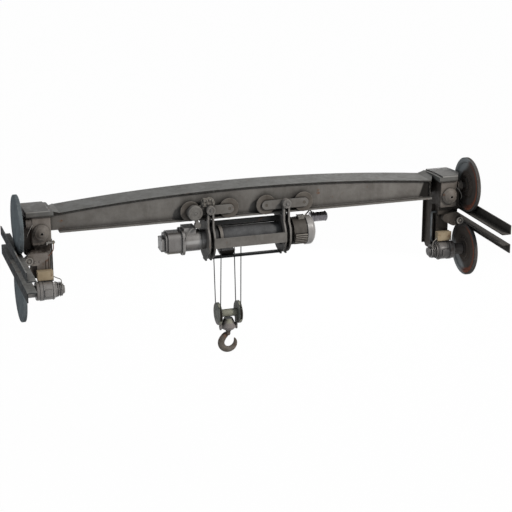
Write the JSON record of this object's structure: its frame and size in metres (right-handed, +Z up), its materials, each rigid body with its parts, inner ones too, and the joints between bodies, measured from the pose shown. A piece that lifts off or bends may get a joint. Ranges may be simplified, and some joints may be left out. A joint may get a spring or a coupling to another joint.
{
  "type": "overhead bridge crane",
  "caption": "Overhead bridge crane with an arched girder, twin end wheels above and below runway angles, and an underslung electric rope hoist with a hook block.",
  "frame": {"origin": "on the outer face of the left upper runway angle's upright leg, at half its height, level along the runway with the end wheels' axles", "axes": "+X along the girder towards the right runway, +Y along the runway away from the viewer, +Z up"},
  "size_m": [5.11, 1.63, 1.9612],
  "materials": {
    "crane_paint": "satin",
    "rail_steel": "satin",
    "wheel_steel": "satin",
    "drive_paint": "satin",
    "box_tan": "satin",
    "drum_steel": "satin",
    "rope_steel": "satin",
    "block_paint": "satin",
    "hook_iron": "satin"
  },
  "bodies": {
    "runway": {"runway_rails_left": "rail_steel", "runway_rails_right": "rail_steel"},
    "bridge": {"girder_top_plate": "crane_paint", "girder_box": "crane_paint", "girder_track": "crane_paint", "end_box_left": "crane_paint", "end_box_right": "crane_paint", "end_cap_left": "crane_paint", "end_cap_right": "crane_paint", "bearing_cover_left": "crane_paint", "bearing_cover_right": "crane_paint", "end_bracket_left": "crane_paint", "end_bracket_right": "crane_paint", "junction_box_left": "box_tan", "junction_box_right": "box_tan", "drive_gearbox_left": "drive_paint", "drive_gearbox_right": "drive_paint", "drive_motor_left": "drive_paint", "drive_motor_right": "drive_paint", "rear_channel_left": "crane_paint", "rear_channel_right": "crane_paint"},
    "upper_wheel_left_body": {"upper_wheel_left": "wheel_steel"},
    "upper_wheel_right_body": {"upper_wheel_right": "wheel_steel"},
    "lower_wheel_left_body": {"lower_wheel_left": "wheel_steel"},
    "lower_wheel_right_body": {"lower_wheel_right": "wheel_steel"},
    "trolley": {"bogie_links_left": "crane_paint", "bogie_links_right": "crane_paint", "hanger_left": "crane_paint", "hanger_right": "crane_paint", "hoist_bars": "crane_paint", "rope_guide": "crane_paint", "return_block": "crane_paint", "hoist_gearbox": "drive_paint", "hoist_motor": "drive_paint", "fan_cover": "drive_paint", "limit_switch": "drive_paint", "travel_drive": "drive_paint", "rope_falls": "rope_steel"},
    "axle_outer_left": {"trolley_wheels_outer_left": "wheel_steel"},
    "axle_inner_left": {"trolley_wheels_inner_left": "wheel_steel"},
    "axle_inner_right": {"trolley_wheels_inner_right": "wheel_steel"},
    "axle_outer_right": {"trolley_wheels_outer_right": "wheel_steel"},
    "drum": {"rope_drum": "drum_steel"},
    "block": {"hook_block": "block_paint"},
    "hook_body": {"hook": "hook_iron"}
  },
  "joints": [
    {"name": "bridge_travel", "type": "slide", "parent": "runway", "child": "bridge", "axis": [0, 1, 0], "range_m": [-0.55, 0.5]},
    {"name": "upper_wheel_left_turn", "type": "hinge", "parent": "bridge", "child": "upper_wheel_left_body", "pos_m": [0.075, 0, 0.2623], "axis": [-1, 0, 0], "continuous": true},
    {"name": "lower_wheel_left_turn", "type": "hinge", "parent": "bridge", "child": "lower_wheel_left_body", "pos_m": [0.075, 0, -0.4663], "axis": [1, 0, 0], "continuous": true},
    {"name": "upper_wheel_right_turn", "type": "hinge", "parent": "bridge", "child": "upper_wheel_right_body", "pos_m": [5.035, 0, 0.2623], "axis": [-1, 0, 0], "continuous": true},
    {"name": "lower_wheel_right_turn", "type": "hinge", "parent": "bridge", "child": "lower_wheel_right_body", "pos_m": [5.035, 0, -0.4663], "axis": [1, 0, 0], "continuous": true},
    {"name": "trolley_travel", "type": "slide", "parent": "bridge", "child": "trolley", "axis": [1, 0, 0], "range_m": [-1, 1.1]},
    {"name": "trolley_wheels_outer_left_turn", "type": "hinge", "parent": "trolley", "child": "axle_outer_left", "pos_m": [1.867, 0.2, 0.2423], "axis": [0, 1, 0], "continuous": true},
    {"name": "trolley_wheels_inner_left_turn", "type": "hinge", "parent": "trolley", "child": "axle_inner_left", "pos_m": [2.287, 0.2, 0.2423], "axis": [0, 1, 0], "continuous": true},
    {"name": "trolley_wheels_inner_right_turn", "type": "hinge", "parent": "trolley", "child": "axle_inner_right", "pos_m": [2.693, 0.2, 0.2423], "axis": [0, 1, 0], "continuous": true},
    {"name": "trolley_wheels_outer_right_turn", "type": "hinge", "parent": "trolley", "child": "axle_outer_right", "pos_m": [3.113, 0.2, 0.2423], "axis": [0, 1, 0], "continuous": true},
    {"name": "hook_lift", "type": "slide", "parent": "trolley", "child": "block", "axis": [0, 0, 1], "range_m": [-2.6, 0.4], "deforming": ["rope_falls"]},
    {"name": "drum_turn", "type": "hinge", "parent": "trolley", "child": "drum", "pos_m": [2.484, 0.05, -0.092], "axis": [1, 0, 0], "continuous": true},
    {"name": "hook_swivel", "type": "hinge", "parent": "block", "child": "hook_body", "pos_m": [2.293, 0.05, -1.139], "axis": [0, 0, 1], "continuous": true}
  ],
  "couplings": [
    {"joint": "upper_wheel_left_turn", "follows": "bridge_travel", "rad_per_m": 3.33},
    {"joint": "lower_wheel_left_turn", "follows": "bridge_travel", "rad_per_m": 3.33},
    {"joint": "upper_wheel_right_turn", "follows": "bridge_travel", "rad_per_m": 3.33},
    {"joint": "lower_wheel_right_turn", "follows": "bridge_travel", "rad_per_m": 3.33},
    {"joint": "trolley_wheels_outer_left_turn", "follows": "trolley_travel", "rad_per_m": 11.074},
    {"joint": "trolley_wheels_inner_left_turn", "follows": "trolley_travel", "rad_per_m": 11.074},
    {"joint": "trolley_wheels_inner_right_turn", "follows": "trolley_travel", "rad_per_m": 11.074},
    {"joint": "trolley_wheels_outer_right_turn", "follows": "trolley_travel", "rad_per_m": 11.074},
    {"joint": "drum_turn", "follows": "hook_lift", "rad_per_m": 32.653}
  ]
}
